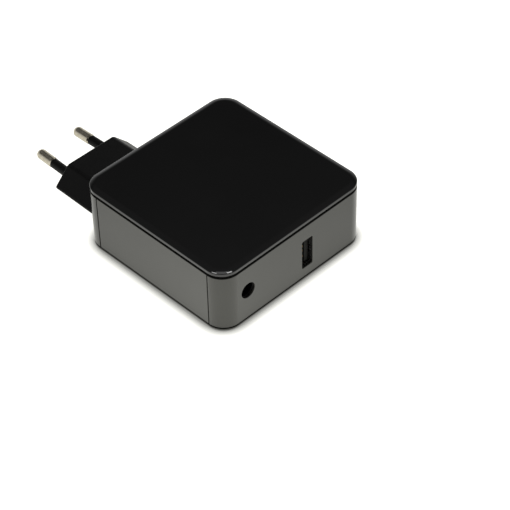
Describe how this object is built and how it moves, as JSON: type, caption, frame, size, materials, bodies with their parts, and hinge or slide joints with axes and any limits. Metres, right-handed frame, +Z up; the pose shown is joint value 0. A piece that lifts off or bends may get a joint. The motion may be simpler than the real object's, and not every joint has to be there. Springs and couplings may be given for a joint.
{
  "type": "usb wall charger",
  "caption": "Square wall charger with rounded corners: flat mains plug behind, USB-A port and round DC socket in front.",
  "frame": {"origin": "centre of the housing's underside, at its bottom face", "axes": "+Z up out of the glossy lid, +Y out of the mains pins, -Y out of the two ports, +X to the right when the ports are looked at from the front"},
  "size_m": [0.07, 0.1065, 0.027],
  "materials": {
    "piano_black": "high-gloss black",
    "case_black": "semi-gloss black, which mirrors a pale table as grey",
    "black_plastic": "smooth black moulding",
    "socket_plastic": "dark moulded insulator",
    "label_film": "blank dark film",
    "nickel": "nickel plate on brass, polished",
    "steel": "tinned sheet steel",
    "gold_contact": "gold flash",
    "heatsink_aluminium": "plain aluminium",
    "board": "green solder mask on glass-epoxy",
    "ferrite": "sintered dark grey ferrite",
    "winding": "enamelled copper wire",
    "tape": "yellow polyester tape",
    "epoxy": "black moulding compound",
    "film_capacitor": "yellow moulded box",
    "blue_ceramic": "blue lacquered disc",
    "green_ceramic": "dark green lacquered disc",
    "can_sleeve": "shrink sleeve over an aluminium can",
    "insulating_film": "milky polyester sheet",
    "red_wire": "smooth insulation",
    "blue_wire": "smooth insulation"
  },
  "bodies": {
    "housing": {"bottom_cover": "case_black", "rating_label": "label_film", "inner_frame": "black_plastic", "front_band": "case_black", "rear_band": "case_black", "left_panel": "case_black", "right_panel": "case_black", "top_cover": "piano_black", "insulation_sheet": "insulating_film", "heat_spreader": "heatsink_aluminium", "plug_neck": "black_plastic", "live_pin": "nickel", "live_pin_sleeve": "black_plastic", "neutral_pin": "nickel", "neutral_pin_sleeve": "black_plastic", "live_lead": "red_wire", "neutral_lead": "blue_wire", "usb_shell": "steel", "usb_insulator": "socket_plastic", "usb_board": "board", "usb_inductor": "ferrite", "usb_capacitor": "can_sleeve", "usb_regulator_chip": "epoxy", "dc_jack_body": "black_plastic", "dc_jack_centre_pin": "nickel", "main_board": "board", "fuse": "epoxy", "thermistor": "green_ceramic", "x_capacitor": "film_capacitor", "choke_core": "ferrite", "choke_winding": "winding", "bridge_rectifier": "epoxy", "bulk_capacitor": "can_sleeve", "transformer_core_lower": "ferrite", "transformer_core_upper": "ferrite", "transformer_winding": "tape", "primary_transistor": "epoxy", "primary_heatsink": "heatsink_aluminium", "primary_heatsink_screw": "steel", "output_rectifier": "epoxy", "output_heatsink": "heatsink_aluminium", "output_heatsink_screw": "steel", "output_capacitor_1": "can_sleeve", "output_capacitor_2": "can_sleeve", "y_capacitor": "blue_ceramic", "optocoupler": "epoxy", "controller_chip": "epoxy"},
    "usb_contact_1": {"usb_contact_1": "gold_contact"},
    "usb_contact_2": {"usb_contact_2": "gold_contact"},
    "usb_contact_3": {"usb_contact_3": "gold_contact"},
    "usb_contact_4": {"usb_contact_4": "gold_contact"},
    "dc_jack_spring": {"dc_jack_spring": "nickel"}
  },
  "joints": [
    {"name": "usb_contact_1_flex", "type": "hinge", "parent": "housing", "child": "usb_contact_1", "pos_m": [0.00602, -0.0231, 0.0082], "axis": [0, 0, 1], "range_deg": [0, 2.5], "stiffness_Nm_per_rad": 0.1},
    {"name": "usb_contact_2_flex", "type": "hinge", "parent": "housing", "child": "usb_contact_2", "pos_m": [0.00602, -0.0231, 0.0107], "axis": [0, 0, 1], "range_deg": [0, 2.5], "stiffness_Nm_per_rad": 0.1},
    {"name": "usb_contact_3_flex", "type": "hinge", "parent": "housing", "child": "usb_contact_3", "pos_m": [0.00602, -0.0231, 0.0127], "axis": [0, 0, 1], "range_deg": [0, 2.5], "stiffness_Nm_per_rad": 0.1},
    {"name": "usb_contact_4_flex", "type": "hinge", "parent": "housing", "child": "usb_contact_4", "pos_m": [0.00602, -0.0231, 0.0152], "axis": [0, 0, 1], "range_deg": [0, 2.5], "stiffness_Nm_per_rad": 0.1},
    {"name": "dc_jack_spring_flex", "type": "hinge", "parent": "housing", "child": "dc_jack_spring", "pos_m": [-0.02295, -0.0239, 0.00993], "axis": [1, 0, 0], "range_deg": [0, 5.5], "stiffness_Nm_per_rad": 0.1}
  ]
}
